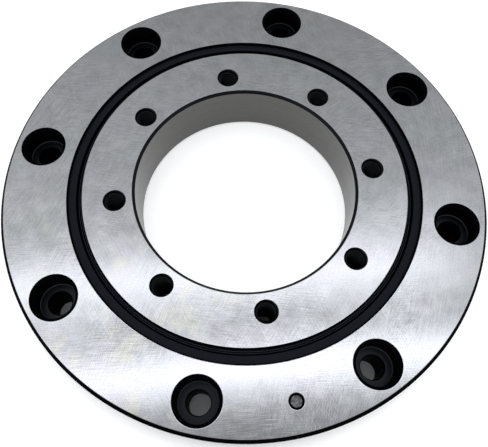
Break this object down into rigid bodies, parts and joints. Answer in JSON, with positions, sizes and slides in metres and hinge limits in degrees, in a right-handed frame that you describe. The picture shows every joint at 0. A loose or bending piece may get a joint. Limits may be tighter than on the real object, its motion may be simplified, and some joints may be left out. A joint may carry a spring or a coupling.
{
  "type": "slewing ring bearing",
  "caption": "Crossed-roller slewing ring: an outer and an inner ring, both with bolt holes, turn on a sealed row of rollers crossed at right angles and take radial, axial and tilting load.",
  "frame": {"origin": "centre of the bottom face, on the bearing axis", "axes": "+Z along the bearing axis, from the plain bottom face to the face with the counterbores; the roller filling plug and its lock pin are close to -Y"},
  "size_m": [0.12, 0.12, 0.015],
  "materials": {
    "outer_ring_steel": "ground bearing steel, dark in the holes and on the chamfers",
    "inner_ring_steel": "ground bearing steel, dark in the holes and on the chamfers",
    "plug_steel": "ground flush with the ring",
    "pin_steel": "dull, hammered end",
    "seal_rubber": "matt black nitrile rubber",
    "roller_steel": "superfinished bearing steel",
    "spacer_resin": "moulded natural polyamide"
  },
  "bodies": {
    "outer_ring": {"outer_ring": "outer_ring_steel", "insertion_plug": "plug_steel", "plug_lock_pin": "pin_steel", "upper_seal": "seal_rubber", "lower_seal": "seal_rubber"},
    "inner_ring": {"inner_ring": "inner_ring_steel"},
    "spacer_row": {"spacer_pair_01": "spacer_resin", "spacer_pair_02": "spacer_resin", "spacer_pair_03": "spacer_resin", "spacer_pair_04": "spacer_resin", "spacer_pair_05": "spacer_resin", "spacer_pair_06": "spacer_resin", "spacer_pair_07": "spacer_resin", "spacer_pair_08": "spacer_resin", "spacer_pair_09": "spacer_resin", "spacer_pair_10": "spacer_resin", "spacer_pair_11": "spacer_resin", "spacer_pair_12": "spacer_resin", "spacer_pair_13": "spacer_resin", "spacer_pair_14": "spacer_resin", "spacer_pair_15": "spacer_resin", "spacer_pair_16": "spacer_resin", "spacer_pair_17": "spacer_resin", "spacer_pair_18": "spacer_resin"},
    "roller_01": {"roller_01": "roller_steel"},
    "roller_02": {"roller_02": "roller_steel"},
    "roller_03": {"roller_03": "roller_steel"},
    "roller_04": {"roller_04": "roller_steel"},
    "roller_05": {"roller_05": "roller_steel"},
    "roller_06": {"roller_06": "roller_steel"},
    "roller_07": {"roller_07": "roller_steel"},
    "roller_08": {"roller_08": "roller_steel"},
    "roller_09": {"roller_09": "roller_steel"},
    "roller_10": {"roller_10": "roller_steel"},
    "roller_11": {"roller_11": "roller_steel"},
    "roller_12": {"roller_12": "roller_steel"},
    "roller_13": {"roller_13": "roller_steel"},
    "roller_14": {"roller_14": "roller_steel"},
    "roller_15": {"roller_15": "roller_steel"},
    "roller_16": {"roller_16": "roller_steel"},
    "roller_17": {"roller_17": "roller_steel"},
    "roller_18": {"roller_18": "roller_steel"},
    "roller_19": {"roller_19": "roller_steel"},
    "roller_20": {"roller_20": "roller_steel"},
    "roller_21": {"roller_21": "roller_steel"},
    "roller_22": {"roller_22": "roller_steel"},
    "roller_23": {"roller_23": "roller_steel"},
    "roller_24": {"roller_24": "roller_steel"},
    "roller_25": {"roller_25": "roller_steel"},
    "roller_26": {"roller_26": "roller_steel"},
    "roller_27": {"roller_27": "roller_steel"},
    "roller_28": {"roller_28": "roller_steel"},
    "roller_29": {"roller_29": "roller_steel"},
    "roller_30": {"roller_30": "roller_steel"},
    "roller_31": {"roller_31": "roller_steel"},
    "roller_32": {"roller_32": "roller_steel"},
    "roller_33": {"roller_33": "roller_steel"},
    "roller_34": {"roller_34": "roller_steel"},
    "roller_35": {"roller_35": "roller_steel"},
    "roller_36": {"roller_36": "roller_steel"}
  },
  "joints": [
    {"name": "inner_ring_spin", "type": "hinge", "parent": "outer_ring", "child": "inner_ring", "pos_m": [0, 0, 0.0075], "axis": [0, 0, 1], "continuous": true},
    {"name": "spacer_row_spin", "type": "hinge", "parent": "outer_ring", "child": "spacer_row", "pos_m": [0, 0, 0.0075], "axis": [0, 0, 1], "continuous": true},
    {"name": "roller_01_spin", "type": "hinge", "parent": "spacer_row", "child": "roller_01", "pos_m": [0.0425, 0, 0.0075], "axis": [0.7071, 0, 0.7071], "continuous": true},
    {"name": "roller_02_spin", "type": "hinge", "parent": "spacer_row", "child": "roller_02", "pos_m": [0.04185, 0.00738, 0.0075], "axis": [-0.6964, -0.1228, 0.7071], "continuous": true},
    {"name": "roller_03_spin", "type": "hinge", "parent": "spacer_row", "child": "roller_03", "pos_m": [0.03994, 0.01454, 0.0075], "axis": [0.6645, 0.2418, 0.7071], "continuous": true},
    {"name": "roller_04_spin", "type": "hinge", "parent": "spacer_row", "child": "roller_04", "pos_m": [0.03681, 0.02125, 0.0075], "axis": [-0.6124, -0.3536, 0.7071], "continuous": true},
    {"name": "roller_05_spin", "type": "hinge", "parent": "spacer_row", "child": "roller_05", "pos_m": [0.03256, 0.02732, 0.0075], "axis": [0.5417, 0.4545, 0.7071], "continuous": true},
    {"name": "roller_06_spin", "type": "hinge", "parent": "spacer_row", "child": "roller_06", "pos_m": [0.02732, 0.03256, 0.0075], "axis": [-0.4545, -0.5417, 0.7071], "continuous": true},
    {"name": "roller_07_spin", "type": "hinge", "parent": "spacer_row", "child": "roller_07", "pos_m": [0.02125, 0.03681, 0.0075], "axis": [0.3536, 0.6124, 0.7071], "continuous": true},
    {"name": "roller_08_spin", "type": "hinge", "parent": "spacer_row", "child": "roller_08", "pos_m": [0.01454, 0.03994, 0.0075], "axis": [-0.2418, -0.6645, 0.7071], "continuous": true},
    {"name": "roller_09_spin", "type": "hinge", "parent": "spacer_row", "child": "roller_09", "pos_m": [0.00738, 0.04185, 0.0075], "axis": [0.1228, 0.6964, 0.7071], "continuous": true},
    {"name": "roller_10_spin", "type": "hinge", "parent": "spacer_row", "child": "roller_10", "pos_m": [0, 0.0425, 0.0075], "axis": [0, -0.7071, 0.7071], "continuous": true},
    {"name": "roller_11_spin", "type": "hinge", "parent": "spacer_row", "child": "roller_11", "pos_m": [-0.00738, 0.04185, 0.0075], "axis": [-0.1228, 0.6964, 0.7071], "continuous": true},
    {"name": "roller_12_spin", "type": "hinge", "parent": "spacer_row", "child": "roller_12", "pos_m": [-0.01454, 0.03994, 0.0075], "axis": [0.2418, -0.6645, 0.7071], "continuous": true},
    {"name": "roller_13_spin", "type": "hinge", "parent": "spacer_row", "child": "roller_13", "pos_m": [-0.02125, 0.03681, 0.0075], "axis": [-0.3536, 0.6124, 0.7071], "continuous": true},
    {"name": "roller_14_spin", "type": "hinge", "parent": "spacer_row", "child": "roller_14", "pos_m": [-0.02732, 0.03256, 0.0075], "axis": [0.4545, -0.5417, 0.7071], "continuous": true},
    {"name": "roller_15_spin", "type": "hinge", "parent": "spacer_row", "child": "roller_15", "pos_m": [-0.03256, 0.02732, 0.0075], "axis": [-0.5417, 0.4545, 0.7071], "continuous": true},
    {"name": "roller_16_spin", "type": "hinge", "parent": "spacer_row", "child": "roller_16", "pos_m": [-0.03681, 0.02125, 0.0075], "axis": [0.6124, -0.3536, 0.7071], "continuous": true},
    {"name": "roller_17_spin", "type": "hinge", "parent": "spacer_row", "child": "roller_17", "pos_m": [-0.03994, 0.01454, 0.0075], "axis": [-0.6645, 0.2418, 0.7071], "continuous": true},
    {"name": "roller_18_spin", "type": "hinge", "parent": "spacer_row", "child": "roller_18", "pos_m": [-0.04185, 0.00738, 0.0075], "axis": [0.6964, -0.1228, 0.7071], "continuous": true},
    {"name": "roller_19_spin", "type": "hinge", "parent": "spacer_row", "child": "roller_19", "pos_m": [-0.0425, 0, 0.0075], "axis": [-0.7071, 0, 0.7071], "continuous": true},
    {"name": "roller_20_spin", "type": "hinge", "parent": "spacer_row", "child": "roller_20", "pos_m": [-0.04185, -0.00738, 0.0075], "axis": [0.6964, 0.1228, 0.7071], "continuous": true},
    {"name": "roller_21_spin", "type": "hinge", "parent": "spacer_row", "child": "roller_21", "pos_m": [-0.03994, -0.01454, 0.0075], "axis": [-0.6645, -0.2418, 0.7071], "continuous": true},
    {"name": "roller_22_spin", "type": "hinge", "parent": "spacer_row", "child": "roller_22", "pos_m": [-0.03681, -0.02125, 0.0075], "axis": [0.6124, 0.3536, 0.7071], "continuous": true},
    {"name": "roller_23_spin", "type": "hinge", "parent": "spacer_row", "child": "roller_23", "pos_m": [-0.03256, -0.02732, 0.0075], "axis": [-0.5417, -0.4545, 0.7071], "continuous": true},
    {"name": "roller_24_spin", "type": "hinge", "parent": "spacer_row", "child": "roller_24", "pos_m": [-0.02732, -0.03256, 0.0075], "axis": [0.4545, 0.5417, 0.7071], "continuous": true},
    {"name": "roller_25_spin", "type": "hinge", "parent": "spacer_row", "child": "roller_25", "pos_m": [-0.02125, -0.03681, 0.0075], "axis": [-0.3536, -0.6124, 0.7071], "continuous": true},
    {"name": "roller_26_spin", "type": "hinge", "parent": "spacer_row", "child": "roller_26", "pos_m": [-0.01454, -0.03994, 0.0075], "axis": [0.2418, 0.6645, 0.7071], "continuous": true},
    {"name": "roller_27_spin", "type": "hinge", "parent": "spacer_row", "child": "roller_27", "pos_m": [-0.00738, -0.04185, 0.0075], "axis": [-0.1228, -0.6964, 0.7071], "continuous": true},
    {"name": "roller_28_spin", "type": "hinge", "parent": "spacer_row", "child": "roller_28", "pos_m": [0, -0.0425, 0.0075], "axis": [0, 0.7071, 0.7071], "continuous": true},
    {"name": "roller_29_spin", "type": "hinge", "parent": "spacer_row", "child": "roller_29", "pos_m": [0.00738, -0.04185, 0.0075], "axis": [0.1228, -0.6964, 0.7071], "continuous": true},
    {"name": "roller_30_spin", "type": "hinge", "parent": "spacer_row", "child": "roller_30", "pos_m": [0.01454, -0.03994, 0.0075], "axis": [-0.2418, 0.6645, 0.7071], "continuous": true},
    {"name": "roller_31_spin", "type": "hinge", "parent": "spacer_row", "child": "roller_31", "pos_m": [0.02125, -0.03681, 0.0075], "axis": [0.3536, -0.6124, 0.7071], "continuous": true},
    {"name": "roller_32_spin", "type": "hinge", "parent": "spacer_row", "child": "roller_32", "pos_m": [0.02732, -0.03256, 0.0075], "axis": [-0.4545, 0.5417, 0.7071], "continuous": true},
    {"name": "roller_33_spin", "type": "hinge", "parent": "spacer_row", "child": "roller_33", "pos_m": [0.03256, -0.02732, 0.0075], "axis": [0.5417, -0.4545, 0.7071], "continuous": true},
    {"name": "roller_34_spin", "type": "hinge", "parent": "spacer_row", "child": "roller_34", "pos_m": [0.03681, -0.02125, 0.0075], "axis": [-0.6124, 0.3536, 0.7071], "continuous": true},
    {"name": "roller_35_spin", "type": "hinge", "parent": "spacer_row", "child": "roller_35", "pos_m": [0.03994, -0.01454, 0.0075], "axis": [0.6645, -0.2418, 0.7071], "continuous": true},
    {"name": "roller_36_spin", "type": "hinge", "parent": "spacer_row", "child": "roller_36", "pos_m": [0.04185, -0.00738, 0.0075], "axis": [-0.6964, 0.1228, 0.7071], "continuous": true}
  ],
  "couplings": [
    {"joint": "spacer_row_spin", "follows": "inner_ring_spin", "ratio": 0.47504},
    {"joint": "roller_01_spin", "follows": "inner_ring_spin", "ratio": -7.0657},
    {"joint": "roller_02_spin", "follows": "inner_ring_spin", "ratio": -7.0657},
    {"joint": "roller_03_spin", "follows": "inner_ring_spin", "ratio": -7.0657},
    {"joint": "roller_04_spin", "follows": "inner_ring_spin", "ratio": -7.0657},
    {"joint": "roller_05_spin", "follows": "inner_ring_spin", "ratio": -7.0657},
    {"joint": "roller_06_spin", "follows": "inner_ring_spin", "ratio": -7.0657},
    {"joint": "roller_07_spin", "follows": "inner_ring_spin", "ratio": -7.0657},
    {"joint": "roller_08_spin", "follows": "inner_ring_spin", "ratio": -7.0657},
    {"joint": "roller_09_spin", "follows": "inner_ring_spin", "ratio": -7.0657},
    {"joint": "roller_10_spin", "follows": "inner_ring_spin", "ratio": -7.0657},
    {"joint": "roller_11_spin", "follows": "inner_ring_spin", "ratio": -7.0657},
    {"joint": "roller_12_spin", "follows": "inner_ring_spin", "ratio": -7.0657},
    {"joint": "roller_13_spin", "follows": "inner_ring_spin", "ratio": -7.0657},
    {"joint": "roller_14_spin", "follows": "inner_ring_spin", "ratio": -7.0657},
    {"joint": "roller_15_spin", "follows": "inner_ring_spin", "ratio": -7.0657},
    {"joint": "roller_16_spin", "follows": "inner_ring_spin", "ratio": -7.0657},
    {"joint": "roller_17_spin", "follows": "inner_ring_spin", "ratio": -7.0657},
    {"joint": "roller_18_spin", "follows": "inner_ring_spin", "ratio": -7.0657},
    {"joint": "roller_19_spin", "follows": "inner_ring_spin", "ratio": -7.0657},
    {"joint": "roller_20_spin", "follows": "inner_ring_spin", "ratio": -7.0657},
    {"joint": "roller_21_spin", "follows": "inner_ring_spin", "ratio": -7.0657},
    {"joint": "roller_22_spin", "follows": "inner_ring_spin", "ratio": -7.0657},
    {"joint": "roller_23_spin", "follows": "inner_ring_spin", "ratio": -7.0657},
    {"joint": "roller_24_spin", "follows": "inner_ring_spin", "ratio": -7.0657},
    {"joint": "roller_25_spin", "follows": "inner_ring_spin", "ratio": -7.0657},
    {"joint": "roller_26_spin", "follows": "inner_ring_spin", "ratio": -7.0657},
    {"joint": "roller_27_spin", "follows": "inner_ring_spin", "ratio": -7.0657},
    {"joint": "roller_28_spin", "follows": "inner_ring_spin", "ratio": -7.0657},
    {"joint": "roller_29_spin", "follows": "inner_ring_spin", "ratio": -7.0657},
    {"joint": "roller_30_spin", "follows": "inner_ring_spin", "ratio": -7.0657},
    {"joint": "roller_31_spin", "follows": "inner_ring_spin", "ratio": -7.0657},
    {"joint": "roller_32_spin", "follows": "inner_ring_spin", "ratio": -7.0657},
    {"joint": "roller_33_spin", "follows": "inner_ring_spin", "ratio": -7.0657},
    {"joint": "roller_34_spin", "follows": "inner_ring_spin", "ratio": -7.0657},
    {"joint": "roller_35_spin", "follows": "inner_ring_spin", "ratio": -7.0657},
    {"joint": "roller_36_spin", "follows": "inner_ring_spin", "ratio": -7.0657}
  ]
}
